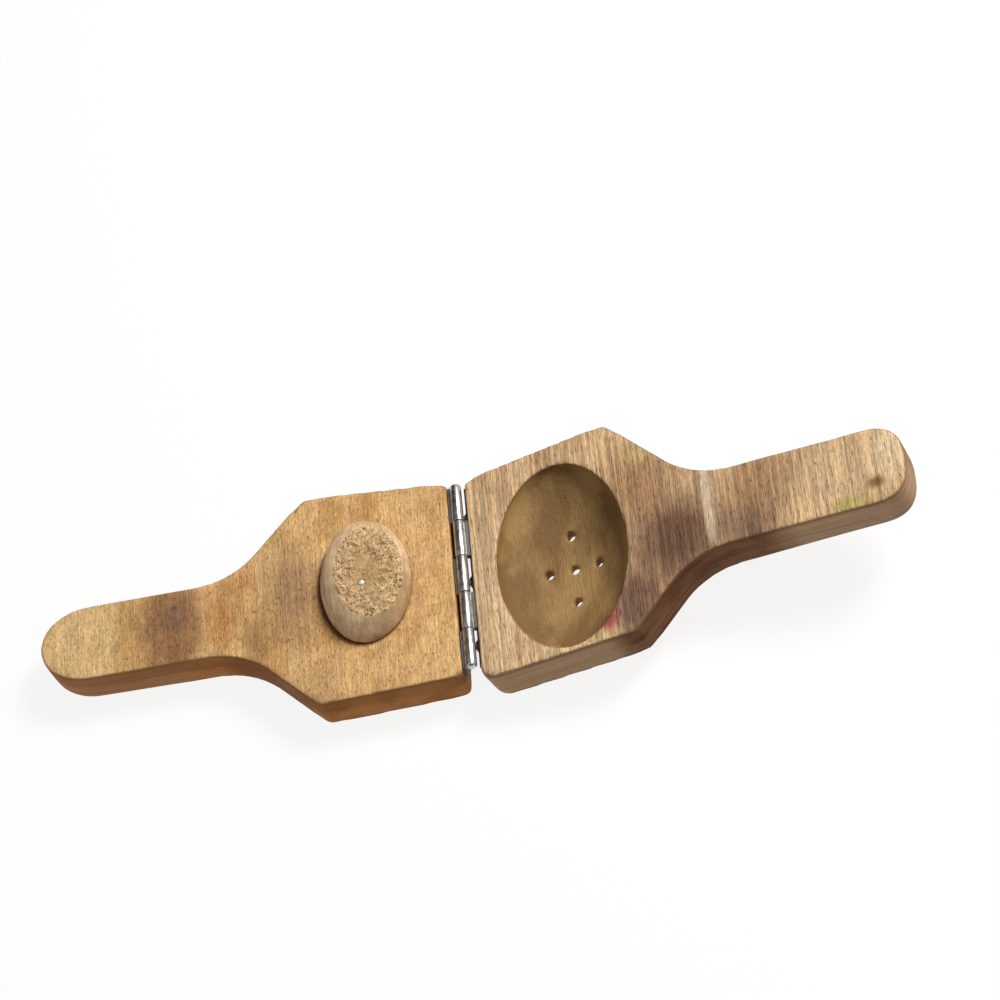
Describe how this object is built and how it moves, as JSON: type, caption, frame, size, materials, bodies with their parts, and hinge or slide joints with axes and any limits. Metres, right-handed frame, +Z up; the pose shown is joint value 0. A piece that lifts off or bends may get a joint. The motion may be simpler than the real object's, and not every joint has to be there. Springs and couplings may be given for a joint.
{
  "type": "hinged wooden citrus squeezer",
  "caption": "Two paddle-shaped wooden boards joined by a steel butt hinge; an oval boss on one presses a halved fruit into an oval cup in the other.",
  "frame": {"origin": "on the underside of the press board, halfway along it and on its middle line", "axes": "+X from the press board towards the cup board, Y along the hinge pin, +Z up out of the press board's inner face"},
  "size_m": [0.3365, 0.0921, 0.0477],
  "materials": {
    "honey_wood": "bare worn hardwood, honey coloured",
    "grey_wood": "bare worn hardwood, greyer and stained",
    "boss_wood": "turned hardwood with a rough fibrous top",
    "hinge_steel": "plain bright steel, lightly worn",
    "screw_steel": "plain steel, slightly dull"
  },
  "bodies": {
    "press_side": {"press_paddle": "honey_wood", "press_boss": "boss_wood", "boss_screw": "screw_steel", "press_leaf": "hinge_steel", "hinge_pin": "hinge_steel", "press_leaf_screw_1": "screw_steel", "press_leaf_screw_2": "screw_steel", "press_leaf_screw_3": "screw_steel"},
    "cup_side": {"cup_paddle": "grey_wood", "cup_leaf": "hinge_steel", "cup_leaf_screw_1": "screw_steel", "cup_leaf_screw_2": "screw_steel", "cup_leaf_screw_3": "screw_steel"}
  },
  "joints": [
    {"name": "hinge", "type": "hinge", "parent": "press_side", "child": "cup_side", "pos_m": [0.08415, 0, 0.0183], "axis": [0, -1, 0], "range_deg": [0, 170]}
  ]
}
